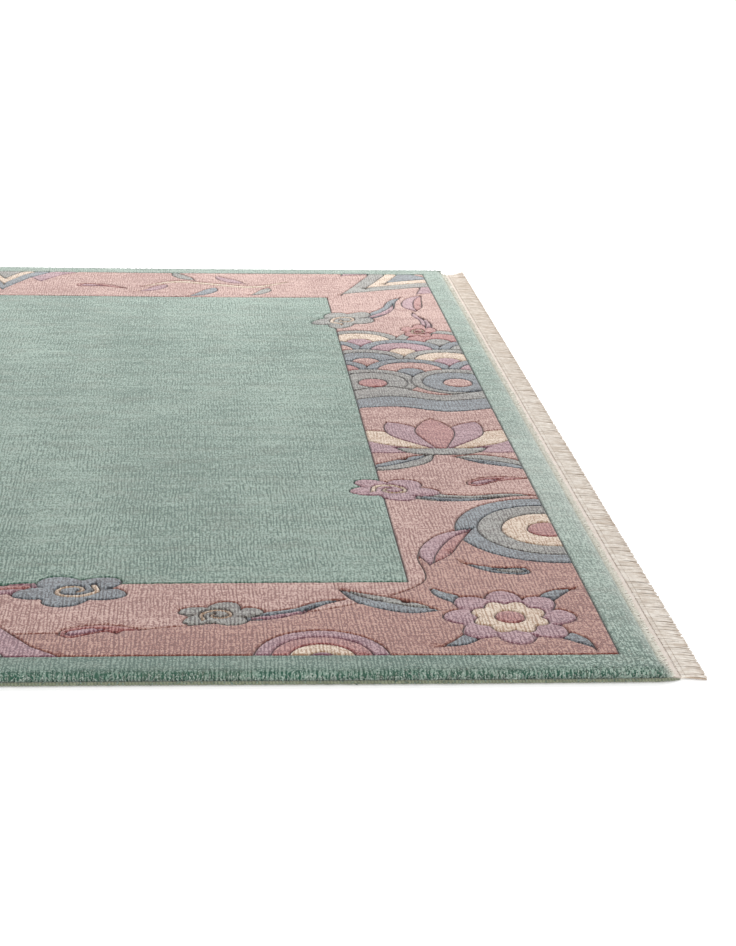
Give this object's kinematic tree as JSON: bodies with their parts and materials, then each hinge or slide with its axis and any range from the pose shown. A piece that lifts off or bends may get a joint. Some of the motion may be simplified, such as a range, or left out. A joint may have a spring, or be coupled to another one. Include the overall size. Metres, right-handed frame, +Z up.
{
  "type": "tibetan rug",
  "caption": "Flat rectangular hand-knotted wool rug with a carved motif border, overcast sides and a short cotton fringe at both ends.",
  "frame": {"origin": "on the floor under the middle of the rug", "axes": "+X along the rug's length, towards one fringed end; +Y across it, away from the viewer in front of the near side; +Z up"},
  "size_m": [3.103, 2.0342, 0.013],
  "materials": {
    "wool_green": "matte sage-green cut wool pile with fine ribs and uneven shade",
    "wool_rose": "matte dusty rose cut wool pile",
    "wool_deep_rose": "matte brownish rose cut wool pile",
    "wool_brick": "matte brick red cut wool pile",
    "wool_mauve": "matte mauve cut wool pile",
    "wool_grey": "matte warm grey cut wool pile",
    "wool_slate": "matte slate cut wool pile",
    "wool_cream": "matte cream cut wool pile",
    "cotton_fringe": "off-white twisted cotton, slightly tanned at the tips",
    "binding_wool": "olive-green overcast wool yarn"
  },
  "bodies": {
    "root": {"knotted_rug": "wool_green", "fringe_end_right": "cotton_fringe", "fringe_end_left": "cotton_fringe", "side_binding_near": "binding_wool", "side_binding_far": "binding_wool"}
  },
  "joints": []
}
